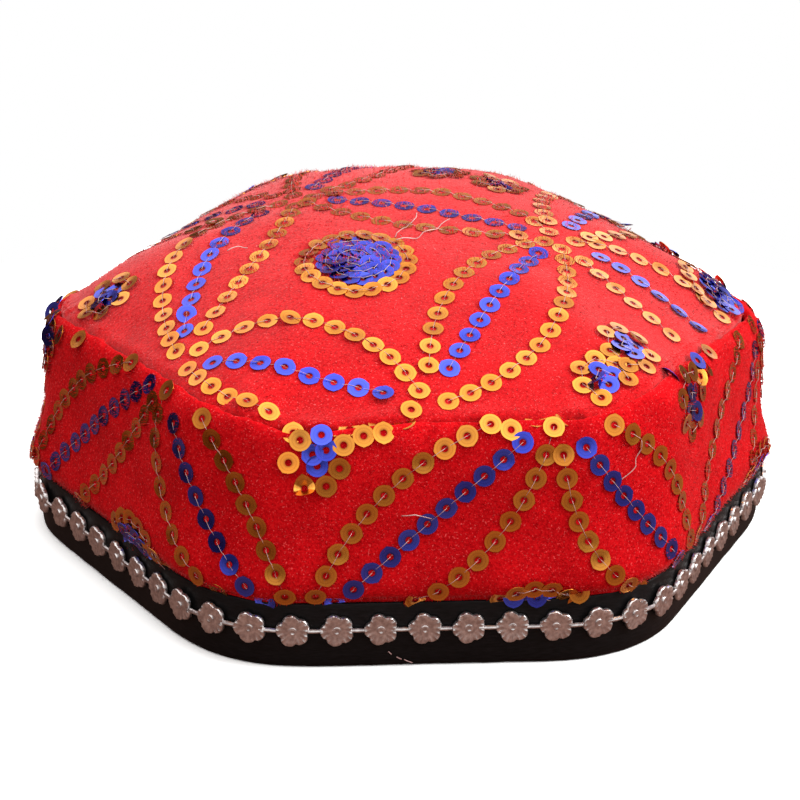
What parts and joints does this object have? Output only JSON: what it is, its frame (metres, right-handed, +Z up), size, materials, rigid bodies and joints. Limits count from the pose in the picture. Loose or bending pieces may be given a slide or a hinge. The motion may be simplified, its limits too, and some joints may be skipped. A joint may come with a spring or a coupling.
{
  "type": "hexagonal hat",
  "caption": "Six-sided brimless dance hat of red velvet: domed top, upright side wall, black ribbon rim with a chain of small metal flowers, open below for the head.",
  "frame": {"origin": "middle of the rim's opening, on the surface that the rim stands on", "axes": "+Z up through the top, the front side faces -Y, and two corners point along +X and -X"},
  "size_m": [0.1947, 0.1767, 0.085],
  "materials": {
    "velvet": "cut pile with a soft sheen",
    "ribbon": "black satin",
    "silver_trim": "plated, softly polished",
    "gold_sequins": "gold foil",
    "blue_sequins": "blue foil",
    "sequin_thread": "fine clear thread"
  },
  "bodies": {
    "root": {"crown_top": "velvet", "side_wall": "velvet", "rim_band": "ribbon", "flower_trim": "silver_trim"}
  },
  "joints": []
}
